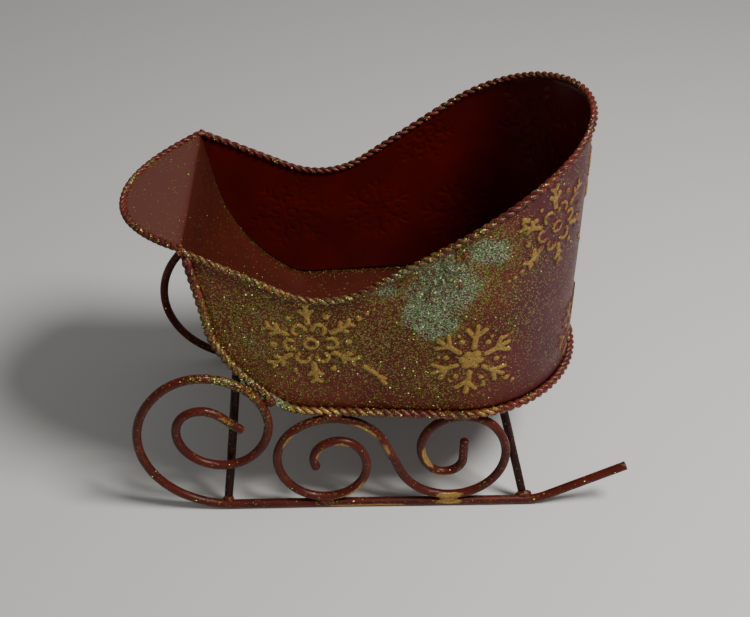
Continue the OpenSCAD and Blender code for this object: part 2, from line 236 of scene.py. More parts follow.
def glitterGroup():
    # loose glitter: every small cell is a flake with its own tint and tilt, and a few flakes get a painted glint
    g, into, out = makeGroup("glitterDust", [
        ("Amount", "NodeSocketFloat", 0.5), ("Grain", "NodeSocketFloat", 1900.0),
        ("Flash", "NodeSocketFloat", 0.03), ("Tilt", "NodeSocketFloat", 0.9)],
        [("Mask", "NodeSocketFloat"), ("Colour", "NodeSocketColor"),
         ("PaintedGlints", "NodeSocketFloat"), ("Normal", "NodeSocketVector")])
    place = addNode(g, "ShaderNodeTexCoord").outputs["Object"]
    cells = addNode(g, "ShaderNodeTexVoronoi", {"feature": "F1"}, Vector=place, Scale=into.outputs["Grain"])
    parts = addNode(g, "ShaderNodeSeparateColor", None, Color=cells.outputs["Color"])
    flake = softStep(g, cells.outputs["Distance"], *glitter["flakeEdge"])
    chosen = mathNode(g, "LESS_THAN", parts.outputs[0], into.outputs["Amount"])
    mask = mathNode(g, "MULTIPLY", flake, chosen)
    warm, cool, glintTints = (colourRamp(g, parts.outputs[1], glitter[tints], "CONSTANT")
                          for tints in ("warm", "cool", "glintTints"))
    heaped = softStep(g, into.outputs["Amount"], *glitter["heaped"])
    tint = mixColour(g, heaped, warm, cool)
    # flakes chosen for a painted glint
    glintMask = mathNode(g, "LESS_THAN", parts.outputs[2], into.outputs["Flash"])
    glintMask = mathNode(g, "MULTIPLY", glintMask, mask)
    wide = mathNode(g, "MULTIPLY", into.outputs["Grain"], glitter["largeGrain"])
    large = addNode(g, "ShaderNodeTexVoronoi", {"feature": "F1"}, Vector=place, Scale=wide)
    picks = addNode(g, "ShaderNodeSeparateColor", None, Color=large.outputs["Color"]).outputs[2]
    few = mathNode(g, "MULTIPLY", into.outputs["Amount"], glitter["largeShare"])
    largeGlints = mathNode(g, "MULTIPLY", mathNode(g, "LESS_THAN", picks, few),
                     softStep(g, large.outputs["Distance"], *glitter["largeEdge"]))
    glintMask = mathNode(g, "MAXIMUM", glintMask, largeGlints)
    mask = mathNode(g, "MAXIMUM", mask, largeGlints)
    colour = mixColour(g, glintMask, tint, glintTints)
    lean = addNode(g, "ShaderNodeVectorMath", {"operation": "SUBTRACT"},
                   i0=cells.outputs["Color"], i1=(0.5, 0.5, 0.5)).outputs[0]
    lean = addNode(g, "ShaderNodeVectorMath", {"operation": "SCALE"}, i0=lean, Scale=into.outputs["Tilt"]).outputs[0]
    lean = addNode(g, "ShaderNodeVectorMath", {"operation": "SCALE"}, i0=lean, Scale=mask).outputs[0]
    face = addNode(g, "ShaderNodeNewGeometry").outputs["Normal"]
    tilted = addNode(g, "ShaderNodeVectorMath", {"operation": "ADD"}, i0=face, i1=lean).outputs[0]
    tilted = addNode(g, "ShaderNodeVectorMath", {"operation": "NORMALIZE"}, i0=tilted).outputs[0]
    for label, value in (("Mask", mask), ("Colour", colour), ("PaintedGlints", glintMask), ("Normal", tilted)):
        g.links.new(value, out.inputs[label])
    return g


gilding = {
    "edge": (0.38, 0.62), "fleck": 1900.0,
    "tints": [(0.28, (0.17, 0.085, 0.020)), (0.5, (0.31, 0.18, 0.046)), (0.72, (0.46, 0.30, 0.10))],
}


def gildingGroup():
    # dry-brushed gold paint, caught on the high spots first
    g, into, out = makeGroup("dryGilding", [
        ("Amount", "NodeSocketFloat", 0.0), ("Break", "NodeSocketFloat", 0.5),
        ("Fineness", "NodeSocketFloat", 700.0)],
        [("Mask", "NodeSocketFloat"), ("Colour", "NodeSocketColor"), ("Height", "NodeSocketFloat")])
    place = addNode(g, "ShaderNodeTexCoord").outputs["Object"]
    coarse = noiseNode(g, place, into.outputs["Fineness"], 4.0, 0.6).outputs[0]
    ragged = mathNode(g, "SUBTRACT", coarse, 0.5)
    ragged = mathNode(g, "MULTIPLY", ragged, into.outputs["Break"])
    level = mathNode(g, "ADD", into.outputs["Amount"], ragged)
    mask = softStep(g, level, *gilding["edge"])
    fine = noiseNode(g, place, gilding["fleck"], 2.0).outputs[0]
    colour = colourRamp(g, fine, gilding["tints"])
    for label, value in (("Mask", mask), ("Colour", colour), ("Height", mathNode(g, "MULTIPLY", mask, coarse))):
        g.links.new(value, out.inputs[label])
    return g


spray = {
    "drift": (0.3, 0.7), "speckScale": 1400.0, "speckEdge": (0.56, 0.75), "speckTint": (1.9, 2.3, 2.3, 1),
    "skinScale": 420.0,
}


def paintGroup():
    # hand-sprayed paint: drifting tone, small specks and an uneven skin
    g, into, out = makeGroup("sprayedPaint", [
        ("Base", "NodeSocketColor", (0.2, 0.03, 0.02, 1)), ("Shade", "NodeSocketColor", (0.1, 0.01, 0.01, 1)),
        ("Patch", "NodeSocketFloat", 60.0), ("Speck", "NodeSocketFloat", 0.3)],
        [("Colour", "NodeSocketColor"), ("Uneven", "NodeSocketFloat"), ("Height", "NodeSocketFloat")])
    place = addNode(g, "ShaderNodeTexCoord").outputs["Object"]
    drift = noiseNode(g, place, into.outputs["Patch"], 4.0, 0.6).outputs[0]
    drift = softStep(g, drift, *spray["drift"])
    colour = mixColour(g, drift, into.outputs["Shade"], into.outputs["Base"])
    specks = noiseNode(g, place, spray["speckScale"], 2.0, 0.7).outputs[0]
    specks = softStep(g, specks, *spray["speckEdge"])
    specks = mathNode(g, "MULTIPLY", specks, into.outputs["Speck"])
    pale = mixColour(g, 1.0, colour, spray["speckTint"], "MULTIPLY")
    colour = mixColour(g, specks, colour, pale)
    skin = noiseNode(g, place, spray["skinScale"], 5.0, 0.65).outputs[0]
    for label, value in (("Colour", colour), ("Uneven", drift), ("Height", skin)):
        g.links.new(value, out.inputs[label])
    return g


dustGroup, goldGroup, coatGroup = glitterGroup(), gildingGroup(), paintGroup()

paintFinish = {
    "tinOutside": {"base": (0.125, 0.020, 0.012), "shade": (0.078, 0.010, 0.006), "patch": 45.0, "speck": 0.25,
                   "rough": 0.42, "dust": 1.0, "flash": 0.006, "grain": 1900.0, "gilt": 1.0, "skin": 0.25,
                   "gloss": 0.16, "turned": (0.058, 0.013, 0.021)},
    # inside skins: darker and deeper red than the outside, a painted shade for the hollow of the body
    "tinInsidePaintedShade": {"base": (0.080, 0.0036, 0.0022), "shade": (0.055, 0.0022, 0.0014), "patch": 40.0, "speck": 0.1,
                  "rough": 0.28, "dust": 0.0, "flash": 0.0, "grain": 1900.0, "gilt": 0.0, "skin": 0.15,
                  "gloss": 0.3},
    # the pan's inside is darker than its outside, painted shade inside the body, and its lip takes a paler painted
    # sheen
    "panInsideShadeAndSheen": {"base": (0.070, 0.012, 0.006), "shade": (0.050, 0.008, 0.004), "patch": 35.0, "speck": 0.2,
                  "rough": 0.42, "dust": 0.9, "flash": 0.008, "grain": 1900.0, "gilt": 0.8, "skin": 0.2,
                  "gloss": 0.22, "turned": (0.105, 0.032, 0.022)},
    "panOutside": {"base": (0.095, 0.014, 0.008), "shade": (0.058, 0.008, 0.005), "patch": 45.0, "speck": 0.3,
                   "rough": 0.42, "dust": 0.6, "flash": 0.01, "grain": 1900.0, "gilt": 0.6, "skin": 0.25,
                   "gloss": 0.22},
    "braidRed": {"base": (0.110, 0.014, 0.008), "shade": (0.058, 0.006, 0.004), "patch": 90.0, "speck": 0.3,
                 "rough": 0.38, "dust": 1.0, "flash": 0.022, "grain": 1900.0, "gilt": 1.0, "skin": 0.3,
                 "gloss": 0.3},
    "wireRed": {"base": (0.082, 0.010, 0.005), "shade": (0.050, 0.005, 0.003), "patch": 80.0, "speck": 0.35,
                "rough": 0.38, "dust": 1.0, "flash": 0.018, "grain": 1900.0, "gilt": 1.0, "skin": 0.3,
                "gloss": 0.2},
    "stayDark": {"base": (0.026, 0.0040, 0.003), "shade": (0.014, 0.0022, 0.0016), "patch": 80.0, "speck": 0.3,
                 "rough": 0.42, "dust": 0.4, "flash": 0.012, "grain": 1900.0, "gilt": 0.5, "skin": 0.3,
                 "gloss": 0.15},
}


sheen = {
    "goldMetal": 0.5, "dustMetal": 0.35, "flashMetal": 0.1, "goldRough": 0.45, "dustRough": 0.35,
    "goldDepth": 0.6, "skinDepth": 0.0004, "glintGlowStrength": 0.7,
}


def paintMaterial(name):
    f = paintFinish[name]
    made = bpy.data.materials.new(name)
    made.use_nodes = True
    t = made.node_tree
    shader = t.nodes["Principled BSDF"]
    coat = addNode(t, "ShaderNodeGroup", {"node_tree": coatGroup}, Base=(*f["base"], 1), Shade=(*f["shade"], 1),
                   Patch=f["patch"], Speck=f["speck"])
    colour = coat.outputs["Colour"]
    if "turned" in f:  # painted sheen: the paint goes a darker mauve round the back of the wall, and paler on the pan's lip where light from above falls
        turn = addNode(t, "ShaderNodeAttribute", {"attribute_name": "turn"}).outputs["Fac"]
        colour = mixColour(t, turn, colour, (*f["turned"], 1))
    gilt = addNode(t, "ShaderNodeAttribute", {"attribute_name": "gilt"}).outputs["Fac"]
    gold = addNode(t, "ShaderNodeGroup", {"node_tree": goldGroup},
                   Amount=mathNode(t, "MULTIPLY", gilt, f["gilt"]))
    colour = mixColour(t, gold.outputs["Mask"], colour, gold.outputs["Colour"])
    dustiness = addNode(t, "ShaderNodeAttribute", {"attribute_name": "dust"}).outputs["Fac"]
    dust = addNode(t, "ShaderNodeGroup", {"node_tree": dustGroup}, Grain=f["grain"], Flash=f["flash"],
                   Amount=mathNode(t, "MULTIPLY", dustiness, f["dust"]))
    colour = mixColour(t, dust.outputs["Mask"], colour, dust.outputs["Colour"])
    metal = mathNode(t, "MULTIPLY", gold.outputs["Mask"], sheen["goldMetal"])
    metal = mixValue(t, dust.outputs["Mask"], metal, sheen["dustMetal"])
    metal = mixValue(t, dust.outputs["PaintedGlints"], metal, sheen["flashMetal"])
    rough = mixValue(t, coat.outputs["Uneven"], f["rough"] + 0.08, f["rough"] - 0.04)
    rough = mixValue(t, gold.outputs["Mask"], rough, sheen["goldRough"])
    rough = mixValue(t, dust.outputs["Mask"], rough, sheen["dustRough"])
    height = mathNode(t, "ADD", coat.outputs["Height"],
                      mathNode(t, "MULTIPLY", gold.outputs["Height"], sheen["goldDepth"]))
    bump = addNode(t, "ShaderNodeBump", None, Strength=f["skin"], Distance=sheen["skinDepth"], Height=height,
                   Normal=dust.outputs["Normal"])
    for label, value in (("Base Color", colour), ("Metallic", metal), ("Roughness", rough),
                         ("Normal", bump.outputs[0])):
        t.links.new(value, shader.inputs[label])
    # painted glint: the glint flakes glow by emission in their own tint, though they are no lamp
    glintGlow = mixColour(t, dust.outputs["PaintedGlints"], (0, 0, 0, 1), dust.outputs["Colour"])
    t.links.new(glintGlow, shader.inputs["Emission Color"])
    shader.inputs["Emission Strength"].default_value = sheen["glintGlowStrength"]
    shader.inputs["Specular IOR Level"].default_value = f["gloss"]
    return made


finishes = {name: paintMaterial(name) for name in paintFinish}
print("materials ready")


# Piece finishing
def finishPiece(bm, name, materials, stands):
    # stands lists the plain CAD nodes that this piece takes the place of
    bmesh.ops.scale(bm, vec=(0.001,) * 3, verts=bm.verts)
    mesh = bpy.data.meshes.new(name)
    bm.to_mesh(mesh)
    bm.free()
    piece = bpy.data.objects.new(name, mesh)
    bpy.context.collection.objects.link(piece)
    for material in materials:
        mesh.materials.append(finishes[material])
    for face in mesh.polygons:
        face.use_smooth = True
    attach(piece, "root")
    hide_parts(*stands)
    print("made", name, len(mesh.polygons), "faces")
    return piece


def thicken(piece, thickness):
    # grows the sheet inwards, and gives the inner skin the second material
    solid = piece.modifiers.new("thickness", "SOLIDIFY")
    solid.thickness, solid.offset, solid.use_even_offset = thickness * 0.001, -1.0, True
    solid.material_offset = 1


# Embossed wall. Marks are drawn flat, as (from, to, half width), and raised from the sheet.
def arcMarks(centre, radius, start, sweep, width, steps=8):
    spots = [(centre[0] + radius * math.cos(math.radians(start + sweep * i / steps)),
              centre[1] + radius * math.sin(math.radians(start + sweep * i / steps)))
             for i in range(steps + 1)]
    return [(a, b, width) for a, b in zip(spots, spots[1:])]


def spoke(angle, r, off=0.0):
    a = math.radians(angle)
    return (r * math.cos(a) - off * math.sin(a), r * math.sin(a) + off * math.cos(a))


def hookFlake(turn):
    marks = arcMarks((0, 0), 2.7, 0, 360, 0.85, 12)
    for k in range(6):
        a = turn + 60 * k
        marks += arcMarks(spoke(a, 8.8), 2.7, a - 118, 236, 0.95)
        marks.append((spoke(a, 16.6), spoke(a, 16.7), 1.25 + 0.35 * (k % 2)))
        b = a + 30
        marks.append((spoke(b, 11.3), spoke(b, 15.5), 1.45))
        marks.append((spoke(b, 15.5), spoke(b, 20.5), 1.15))
        for side in (-1, 1):
            marks.append((spoke(b, 15.2), spoke(b, 17.6, 2.7 * side), 1.15))
            marks.append((spoke(b, 19.6), spoke(b, 21.8, 1.9 * side), 1.0))
    return marks


def tridentFlake(turn):
    marks = []
    for k in range(6):
        a = turn + 60 * k
        marks.append((spoke(a + 30, 0.5), spoke(a + 30, 3.6), 1.9))
        marks.append((spoke(a, 7.0), spoke(a, 14.0), 1.25))
        marks.append((spoke(a, 14.0), spoke(a, 18.4), 1.1))
        for side in (-1, 1):
            marks.append((spoke(a, 12.2), spoke(a, 16.4, 4.2 * side), 1.05))
        marks.append((spoke(a + 30, 11.3), spoke(a + 30, 11.4), 1.25))
        marks.append((spoke(a + 30, 14.6), spoke(a + 30, 14.7), 0.8))
    return marks


wallPattern = {
    # kind, distance along the wall, height, turn, size, share of gold
    "flakes": [
        ("hook", 52.8, 98.7, 5, 1.0, 0.82), ("trident", 122.6, 91.7, 24, 1.0, 0.95),
        ("hook", 160.3, 151.2, 12, 0.95, 0.55), ("hook", 104.0, 139.5, 0, 0.72, 0.35),
        ("trident", 190.0, 82.0, 10, 0.95, 0.5), ("trident", 209.0, 158.0, 30, 1.0, 0.7),
        ("hook", 230.0, 104.0, 20, 1.0, 0.8), ("hook", 250.5, 154.0, 5, 0.95, 0.8),
        ("trident", 288.0, 93.0, 6, 1.0, 0.9), ("hook", 309.5, 139.0, 25, 0.72, 0.5),
        ("trident", 329.5, 98.0, 30, 0.9, 0.9), ("hook", 373.0, 98.0, 18, 0.9, 0.95)],
    # loose drops and bones between the flakes: from, to, half width, gold
    "extras": [
        ((76.2, 86.6), (81.0, 82.8), 1.5, 0.85), ((82.4, 81.2), (85.2, 80.3), 1.1, 0.8),
        ((82.5, 81.4), (85.0, 77.2), 1.2, 0.95), ((73.8, 113.4), (73.9, 113.5), 1.5, 0.9),
        ((77.1, 116.2), (77.2, 116.3), 1.1, 0.9), ((80.1, 118.4), (80.2, 118.5), 0.8, 0.9),
        ((66.0, 107.6), (70.0, 110.4), 1.2, 0.8), ((139.4, 78.1), (139.5, 78.2), 1.5, 0.95),
        ((142.7, 75.8), (142.8, 75.9), 1.1, 0.95), ((136.5, 101.6), (141.0, 104.0), 0.8, 0.55),
        ((128.5, 76.6), (128.6, 76.7), 1.2, 0.95),
        ((148.2, 144.0), (148.0, 139.5), 1.2, 0.8), ((147.0, 137.0), (146.9, 136.9), 1.4, 0.8),
        ((142.8, 134.9), (142.7, 134.8), 1.2, 0.8), ((139.6, 132.9), (139.5, 132.8), 1.1, 0.8),
        ((136.9, 131.8), (136.8, 131.7), 0.8, 0.8),
        ((141.8, 161.0), (143.6, 160.2), 1.3, 0.8), ((147.5, 158.8), (147.6, 158.7), 1.3, 0.8),
        ((184.1, 133.0), (184.2, 133.1), 1.4, 0.7), ((187.0, 129.5), (187.1, 129.4), 1.1, 0.7),
        ((34.0, 124.0), (34.1, 124.1), 1.2, 0.6), ((99.5, 113.0), (99.6, 113.1), 1.2, 0.3)],
    "raise": 0.75, "dent": 0.16, "rows": 36, "column": 2.4, "bold": 1.12, "farRaise": 0.38,
    # reach round the marks and longest edge there, and the coarser mesh past a place on the far side
    "fine": [(2.4, 1.3), (1.2, 0.95), (0.3, 0.62)], "coarsePast": 215.0, "coarser": 1.4,
}


def allMarks():
    marks = []
    for kind, along, height, turn, size, gold in wallPattern["flakes"]:
        drawn = hookFlake(turn) if kind == "hook" else tridentFlake(turn)
        for a, b, width in drawn:
            thin = rng.uniform(0.88, 1.1)
            brush = gold * rng.uniform(0.8, 1.1)
            nudge = Vector((rng.uniform(-0.25, 0.25), rng.uniform(-0.25, 0.25)))
            place = Vector((along, height)) + nudge
            marks.append((place + Vector(a) * size, place + Vector(b) * size,
                          width * size * thin * wallPattern["bold"], brush))
    for a, b, width, gold in wallPattern["extras"]:
        marks.append((Vector(a), Vector(b), width, gold))
    return marks


markCell, markReach = 4.0, 3.2


def markIndex(marks):
    # lists the marks near each square cell of the sheet
    index, cell = {}, markCell
    for mark in marks:
        a, b, width = mark[:3]
        pad = width + markReach
        for i in range(int((min(a.x, b.x) - pad) // cell), int((max(a.x, b.x) + pad) // cell) + 1):
            for j in range(int((min(a.y, b.y) - pad) // cell), int((max(a.y, b.y) + pad) // cell) + 1):
                index.setdefault((i, j), []).append(mark)
    return index


wallIndex = markIndex(allMarks())


def markAt(along, height):
    # nearest mark: gap to its edge, raised share and gold
    spot, gap, lift, gold = Vector((along, height)), 99.0, 0.0, 0.0
    for a, b, width, brush in wallIndex.get((int(along // markCell), int(height // markCell)), ()):
        run = b - a
        t = max(0.0, min(1.0, (spot - a).dot(run) / max(run.length_squared, 1e-9)))
        away = (spot - a - run * t).length
        gap = min(gap, away - width)
        rise = 1 - smoothRise(0.25, 1.25, away / width)
        lift = max(lift, rise)
        gold = max(gold, brush * (1 - smoothRise(0.75, 1.12, away / width)))
    return gap, lift, gold


def dustAt(x, y, z):
    # share of loose glitter on the near side's wall, thickest below the rise of the rim
    if y < 0:
        return 0.25 + 0.35 * smoothRise(-0.2, 0.4, wobble(x * 0.03, y * 0.03, z * 0.03, 5))
    heap = 0.12
    for cx, cz, wide, tall, much in dustHeaps:
        heap = max(heap, much * math.exp(-((x - cx) / wide) ** 2 - ((z - cz) / tall) ** 2))
    return heap * (0.98 + 0.3 * wobble(x * 0.07, y * 0.07, z * 0.07, 9))


# middle (ahead, up), reach (ahead, up), how much
dustHeaps = [(-25.0, 134.0, 25.0, 24.0, 1.36), (-20.0, 114.0, 17.0, 17.0, 1.32), (1.0, 129.0, 15.0, 10.0, 1.06),
             (-41.0, 148.0, 21.0, 14.0, 1.1),
             (52.0, 104.0, 44.0, 42.0, 0.82), (8.0, 100.0, 30.0, 30.0, 0.72), (-20.0, 84.0, 32.0, 26.0, 0.62),
             (-54.0, 124.0, 22.0, 34.0, 0.45)]


def makeWall():
    sheet = bodyShape["sheet"]
    ahead = [bodyShape["frontX"] - sheet - (bodyShape["frontX"] - sheet - leanFootX) * i / 4 for i in range(4)]
    ahead += [panelSpot(leanAngle + (heelAngle - leanAngle) * i / 14)[0] for i in range(15)]
    stops = [(bodyShape["frontX"] - x) / math.sin(sideAngle) for x in ahead]
    middle = wallLength / 2
    count = math.ceil((middle - stops[-1]) / wallPattern["column"])
    start = stops[-1]
    stops += [start + (middle - start) * i / count for i in range(1, count + 1)]
    stops += [wallLength - s for s in reversed(stops[:-1])]
    columns, rows = len(stops) - 1, wallPattern["rows"]
    bm = bmesh.new()
    bmesh.ops.create_grid(bm, x_segments=columns, y_segments=rows, size=0.5)
    for v in bm.verts:
        along = stops[round((v.co.x + 0.5) * columns)]
        x = planSpot(along)[0].x
        low, high = bottomHeight(x), rimHeight(x)
        v.co = (along, low + (high - low) * (v.co.y + 0.5), 0)
    for reach, longest in wallPattern["fine"]:
        near = [v for v in bm.verts if markAt(v.co.x, v.co.y)[0] < reach]
        edges = []
        for v in near:
            limit = longest * (wallPattern["coarser"] if v.co.x >= wallPattern["coarsePast"] else 1.0)
            edges += [e for e in v.link_edges if e.calc_length() > limit]
        bmesh.ops.subdivide_edges(bm, edges=list(dict.fromkeys(edges)), cuts=1, use_grid_fill=True)
    bmesh.ops.triangulate(bm, faces=[f for f in bm.faces if len(f.verts) > 4])
    gilt = bm.verts.layers.float.new("gilt")
    dust = bm.verts.layers.float.new("dust")
    turn = bm.verts.layers.float.new("turn")
    for v in bm.verts:
        along, z = v.co.x, v.co.y
        lift, gold = markAt(along, z)[1:]
        spot, out = planSpot(along)
        x = spot.x
        edge = smoothRise(0, 5, min(along, wallLength - along)) * smoothRise(0, 3, z - bottomHeight(x)) \
            * smoothRise(0, 3, rimHeight(x) - z)
        dent = wallPattern["dent"] * wobble(x * 0.045, spot.y * 0.045, z * 0.045) * edge
        clear = smoothRise(0, 2.5, z - bottomHeight(x)) * smoothRise(0, 2.5, rimHeight(x) - z)
        raised = wallPattern["raise"] * lift * clear * (1.0 if spot.y > 0 else wallPattern["farRaise"])
        away = dent + raised - 0.1
        v.co = (x + out.x * away, spot.y + out.y * away, z)
        v[gilt] = gold
        v[dust] = dustAt(x, spot.y, z) * (1 - 0.55 * min(1.0, gold))
        # painted sheen: share of the darker mauve round the back
        v[turn] = 0.85 * smoothRise(-34, -72, x) * (0.8 + 0.4 * wobble(x * 0.05, spot.y * 0.05, z * 0.02, 3))
    piece = finishPiece(bm, "tinWall", ["tinOutside", "tinInsidePaintedShade"], ["body_wall"])
    thicken(piece, sheet)


makeWall()

lipShape = {"reach": 30.4, "half": 47.0, "droop": 9.0, "power": 2.1, "rows": 14, "foldR": 1.3}


def lipSpot(ahead):
    droop = math.radians(lipShape["droop"])
    return bodyShape["frontX"] + ahead * math.cos(droop), foldZ - ahead * math.sin(droop)


def makePan():
    # one sheet: lip, fold, curved front panel, heel and floor, as (x, z, half width) from the lip's tip back
    sheet = bodyShape["sheet"]
    path = []
    for i in range(lipShape["rows"]):
        share = math.sin(math.pi / 2 * i / lipShape["rows"])
        ahead = lipShape["reach"] * (1 - share ** lipShape["power"])
        if ahead > lipShape["foldR"]:
            path.append((*lipSpot(ahead), lipShape["half"] * share))
    corner, first = Vector((bodyShape["frontX"], foldZ)), Vector(lipSpot(lipShape["foldR"]))
    last = Vector(leanSpot(foldZ - lipShape["foldR"]))
    for i in range(6):
        t = i / 5
        spot = first * (1 - t) ** 2 + corner * 2 * t * (1 - t) + last * t ** 2
        path.append((spot.x, spot.y, lipShape["half"] + (halfWidth(spot.x, sheet) - lipShape["half"]) * t))
    line = [leanSpot(foldZ + (leanFootZ - foldZ) * i / 9) for i in range(1, 9)]
    line += [panelSpot(leanAngle + (heelAngle - leanAngle) * i / 20) for i in range(21)]
    path += [(x, z, halfWidth(x, sheet)) for x, z in line]
    for i in range(1, 7):
        x, z = heelSpot(heelAngle + (math.pi / 2 - heelAngle) * i / 6)
        path.append((x, z, halfWidth(x, sheet)))
    for i in range(1, 16):
        x = heelX + (-bodyShape["backX"] - heelX) * i / 15
        path.append((x, bodyShape["baseZ"], halfWidth(x, sheet)))
    for i in range(1, 15):
        x = -bodyShape["backX"] - (bodyShape["backR"] - sheet) * math.sin(math.pi / 2 * i / 14)
        path.append((x, bodyShape["baseZ"], halfWidth(x, sheet)))
    rows, columns = len(path) - 1, 26
    bm = bmesh.new()
    bmesh.ops.create_grid(bm, x_segments=columns, y_segments=rows, size=0.5)
    gilt = bm.verts.layers.float.new("gilt")
    dust = bm.verts.layers.float.new("dust")
    turn = bm.verts.layers.float.new("turn")
    for v in bm.verts:
        x, z, half = path[round((v.co.y + 0.5) * rows)]
        across = 2 * v.co.x
        y = across * half
        edge = 1 - abs(across) ** 6
        wave = 0.22 * wobble(x * 0.03, y * 0.045, z * 0.012, 4) * edge
        v.co = (x + wave, y, z + 0.4 * wave)
        v[gilt] = 0.5 * smoothRise(3.0, 0.0, half - abs(y)) * smoothRise(-0.1, 0.5, wobble(x * 0.2, y * 0.2, z * 0.2))
        onLip = smoothRise(83.5, 86, x)
        # painted sheen on the lip: paler where light from above and the sky's reflection fall
        v[turn] = onLip
        rimDust = smoothRise(9.0, 0.0, half - abs(y)) * 0.28 * onLip
        seamDust = smoothRise(5.0, 0.5, half - abs(y)) * 0.55 * (1 - onLip) * smoothRise(130, 118, z)
        v[dust] = max(rimDust, seamDust, 0.03)
    bmesh.ops.remove_doubles(bm, verts=bm.verts, dist=0.02)
    bm.faces.ensure_lookup_table()
    floorFace = min(bm.faces, key=lambda f: (f.calc_center_median() - Vector((0, 0, bodyShape["baseZ"]))).length)
    floorFace.normal_update()
    if floorFace.normal.z > 0:
        bmesh.ops.reverse_faces(bm, faces=bm.faces)
    piece = finishPiece(bm, "panSheet", ["panOutside", "panInsideShadeAndSheen"], ["floor_pan", "dash_lip"])
    thicken(piece, sheet)


makePan()


# Wires: one ring, then one extrusion for each stop along the route
def sweepWire(bm, route, across, radii, sides=12):
    def seat(i):
        ahead = (route[min(i + 1, len(route) - 1)] - route[max(i - 1, 0)]).normalized()
        side = (across[i] - ahead * across[i].dot(ahead)).normalized()
        other = ahead.cross(side)
        r = radii[i]
        return Matrix(((side.x * r, other.x * r, ahead.x, route[i].x),
                       (side.y * r, other.y * r, ahead.y, route[i].y),
                       (side.z * r, other.z * r, ahead.z, route[i].z), (0, 0, 0, 1)))
    ring = bmesh.ops.create_circle(bm, cap_ends=True, radius=1.0, segments=sides, matrix=seat(0))["verts"]
    edges = list(dict.fromkeys(e for v in ring for e in v.link_edges))  # each edge once
    before = seat(0)
    for i in range(1, len(route)):
        grown = bmesh.ops.extrude_edge_only(bm, edges=edges)["geom"]
        verts = [g for g in grown if isinstance(g, bmesh.types.BMVert)]
        edges = [g for g in grown if isinstance(g, bmesh.types.BMEdge)]
        here = seat(i)
        bmesh.ops.transform(bm, matrix=here @ before.inverted(), verts=verts)
        before = here
    bmesh.ops.edgeloop_fill(bm, edges=edges)


def roundEnds(route, radii, across, first=True, last=True, full=0.55):
    # adds a short dome at a cut end
    def dome(end, inner, r):
        out = (end - inner).normalized()
        return [(end + out * r * full * math.sin(a), r * math.cos(a)) for a in (0.5, 0.95, 1.3)]
    if last:
        for spot, r in dome(route[-1], route[-2], radii[-1]):
            route.append(spot)
            radii.append(r)
            across.append(across[-1])
    if first:
        for spot, r in dome(route[0], route[1], radii[0]):
            route.insert(0, spot)
            radii.insert(0, r)
            across.insert(0, across[0])


def markWire(bm, giltSpots, dustSpots, giltBase=0.0, dustBase=0.0, seed=0.0):
    # gold spots are (middle, reach, how much, side it was brushed from), glitter spots lack the side
    bm.normal_update()
    gilt = bm.verts.layers.float.new("gilt")
    dust = bm.verts.layers.float.new("dust")
    for v in bm.verts:
        p = v.co
        gold, loose = giltBase, dustBase
        for place, reach, much, brushed in giltSpots:
            facing = smoothRise(0.45, 0.95, v.normal.dot(Vector(brushed).normalized()))
            gold = max(gold, facing * much * math.exp(-((p - Vector(place)).length / reach) ** 2))
        for place, reach, much in dustSpots:
            loose = max(loose, much * math.exp(-((p - Vector(place)).length / reach) ** 2))
        v[gilt] = gold + 0.16 * wobble(p.x * 0.25, p.y * 0.25, p.z * 0.25, seed)
        v[dust] = loose


# Twisted edging: two strands laid round each other
def resample(route, step):
    spots, lengths = [Vector(p) for p in route], [0.0]
    for a, b in zip(spots, spots[1:]):
        lengths.append(lengths[-1] + (b - a).length)
    count = max(2, round(lengths[-1] / step))
    out, k = [], 0
    for i in range(count + 1):
        want = lengths[-1] * i / count
        while k < len(lengths) - 2 and lengths[k + 1] < want:
            k += 1
        t = (want - lengths[k]) / max(lengths[k + 1] - lengths[k], 1e-9)
        out.append(spots[k].lerp(spots[k + 1], t))
    return out, lengths[-1]


braids = {
    "rimBraid": {"pitch": 8.0, "strand": 1.02, "lay": 0.70, "gilt": 0.25, "dust": 0.15},
    "baseBraid": {"pitch": 8.2, "strand": 1.26, "lay": 0.86, "gilt": 0.22, "dust": 0.15,
                  "inset": -1.7, "setback": 2.2},
    "lipBraid": {"pitch": 7.2, "strand": 1.12, "lay": 0.80, "gilt": 0.10, "dust": 0.15},
}


def makeBraid(name, route, outOf, stands, giltSpots=(), dustSpots=(), looseEnd=0.0, seed=0.0):
    b = braids[name]
    spots, length = resample(route, b["pitch"] / 12)
    bm = bmesh.new()
    for strand in range(2):
        path, across, radii = [], [], []
        for i, p in enumerate(spots):
            ahead = (spots[min(i + 1, len(spots) - 1)] - spots[max(i - 1, 0)]).normalized()
            out = outOf(p)
            out = (out - ahead * out.dot(ahead)).normalized()
            other = ahead.cross(out)
            travel = length * i / (len(spots) - 1)
            slack = 1 + 0.05 * wobble(travel * 0.05, 0, 0, seed)
            turn = math.pi * strand + 2 * math.pi * travel / b["pitch"] * (1 + 0.004 * math.sin(travel * 0.06 + seed))
            lay = b["lay"] * slack
            path.append(p + out * lay * math.cos(turn) + other * lay * math.sin(turn))
            across.append(out * math.cos(turn) + other * math.sin(turn))
            radii.append(b["strand"] * (1 + 0.03 * wobble(travel * 0.2, strand, 0, seed)))
        if looseEnd and strand == 0:  # one strand's cut end springs clear
            tail = (path[-1] - path[-3]).normalized()
            for i in range(1, 5):
                path.append(path[-1] + tail * looseEnd / 4)
                across.append(across[-1])
                radii.append(radii[-1])
        roundEnds(path, radii, across)
        sweepWire(bm, path, across, radii, 8)
    bmesh.ops.recalc_face_normals(bm, faces=bm.faces)
    markWire(bm, giltSpots, dustSpots, b["gilt"], b["dust"], seed)
    return finishPiece(bm, name, ["braidRed"], stands)


def levelOut(p):
    return Vector((min(p.x + bodyShape["backX"], 0), p.y, 0)).normalized()


